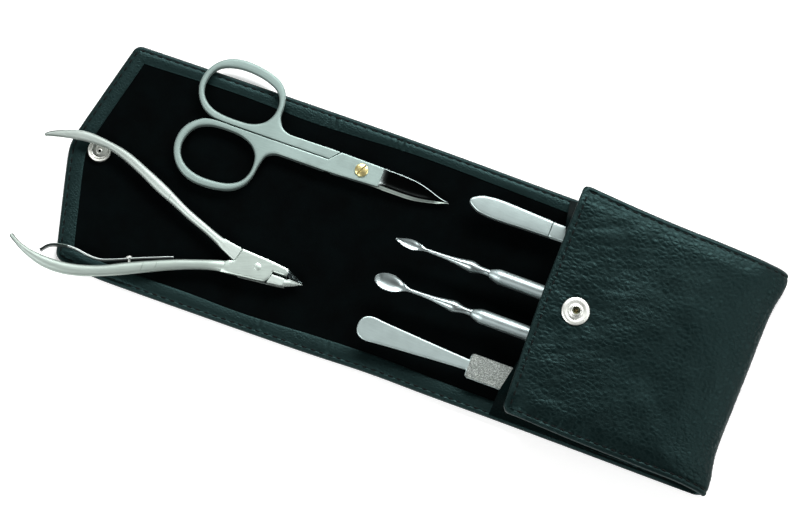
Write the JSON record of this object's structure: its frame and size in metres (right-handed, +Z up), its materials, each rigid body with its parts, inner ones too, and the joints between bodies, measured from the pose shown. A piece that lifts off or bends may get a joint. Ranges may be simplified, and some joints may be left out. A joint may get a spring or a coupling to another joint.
{
  "type": "manicure set case",
  "caption": "Leather manicure set case lying open, with folding flap, press stud and pocket, holding scissors, nippers, tweezers, nail cleaner, cuticle pusher and nail file.",
  "frame": {"origin": "on the flat underside of the open case, at the middle of its outline", "axes": "+X from the flap to the pocket along the case, +Y to the far long edge, +Z up out of the lining"},
  "size_m": [0.2467, 0.0883, 0.0194],
  "materials": {
    "leather": "satin",
    "gusset_leather": "satin",
    "suede": "matte",
    "fibreboard": "matte",
    "felt": "matte",
    "nickel": "polished",
    "spring_steel": "satin",
    "satin_steel": "satin",
    "polished_steel": "polished",
    "brass": "satin",
    "abrasive": "matte"
  },
  "bodies": {
    "case_back": {"back_leather": "leather", "back_board": "fibreboard", "back_lining": "suede", "pocket_front_leather": "leather", "pocket_front_lining": "suede", "gusset_far": "gusset_leather", "gusset_near": "gusset_leather", "tool_loop_strip": "suede", "snap_stud": "nickel", "snap_stud_post": "nickel"},
    "case_spine": {"spine_leather": "leather", "spine_padding": "felt", "spine_lining": "suede"},
    "case_flap": {"flap_leather": "leather", "flap_board": "fibreboard", "flap_lining": "suede", "snap_socket": "nickel", "snap_ring_spring": "spring_steel", "snap_cap": "nickel"},
    "scissors": {"scissors_near_half": "satin_steel", "scissors_screw": "brass"},
    "scissors_far": {"scissors_far_half": "satin_steel"},
    "nippers": {"nippers_far_half": "satin_steel", "nippers_rivet": "satin_steel"},
    "nippers_near": {"nippers_near_half": "satin_steel", "nippers_leaf_spring": "spring_steel", "nippers_spring_screw": "polished_steel"},
    "tweezers": {"tweezers_lower_arm": "satin_steel"},
    "tweezers_top": {"tweezers_upper_arm": "satin_steel"},
    "nail_cleaner": {"nail_cleaner_handle": "polished_steel", "nail_cleaner_tip": "polished_steel"},
    "cuticle_pusher": {"cuticle_pusher_handle": "polished_steel", "cuticle_pusher_tip": "polished_steel"},
    "nail_file": {"nail_file_strip": "satin_steel", "nail_file_grit": "abrasive"}
  },
  "joints": [
    {"name": "case_fold", "type": "hinge", "parent": "case_back", "child": "case_spine", "pos_m": [-0.016, 0, 0.0025], "axis": [0, 1, 0], "range_deg": [0, 102.24]},
    {"name": "flap_fold", "type": "hinge", "parent": "case_spine", "child": "case_flap", "pos_m": [-0.0397, 0, 0.0025], "axis": [0, 1, 0], "range_deg": [0, 83.2]},
    {"name": "scissors_lift", "type": "slide", "parent": "case_back", "child": "scissors", "axis": [0, 0, 1], "range_m": [0, 0.304]},
    {"name": "scissors_pivot", "type": "hinge", "parent": "scissors", "child": "scissors_far", "pos_m": [-0.02505, 0.0235, 0.0044], "axis": [0, 0, -1], "range_deg": [0, 40]},
    {"name": "nippers_lift", "type": "slide", "parent": "case_back", "child": "nippers", "axis": [0, 0, 1], "range_m": [0, 0.3395]},
    {"name": "nippers_pivot", "type": "hinge", "parent": "nippers", "child": "nippers_near", "pos_m": [-0.0461, -0.0189, 0.005], "axis": [0, 0, 1], "range_deg": [0, 14]},
    {"name": "tweezers_out", "type": "slide", "parent": "case_back", "child": "tweezers", "axis": [0.9988, 0, -0.048], "range_m": [-0.07, 0]},
    {"name": "tweezers_squeeze", "type": "hinge", "parent": "tweezers", "child": "tweezers_top", "pos_m": [0.0403, 0.0256, 0.00752], "axis": [0, 1, 0], "range_deg": [0, 1.9], "stiffness_Nm_per_rad": 0.6},
    {"name": "nail_cleaner_out", "type": "slide", "parent": "case_back", "child": "nail_cleaner", "axis": [0.9988, 0, -0.048], "range_m": [-0.07, 0]},
    {"name": "cuticle_pusher_out", "type": "slide", "parent": "case_back", "child": "cuticle_pusher", "axis": [0.9988, 0, -0.048], "range_m": [-0.07, 0]},
    {"name": "nail_file_out", "type": "slide", "parent": "case_back", "child": "nail_file", "axis": [0.9988, 0, -0.048], "range_m": [-0.07, 0]}
  ],
  "couplings": [
    {"joint": "flap_fold", "follows": "case_fold", "ratio": 0.8117},
    {"joint": "scissors_lift", "follows": "case_fold", "m_per_rad": 0.17},
    {"joint": "nippers_lift", "follows": "case_fold", "m_per_rad": 0.19}
  ]
}
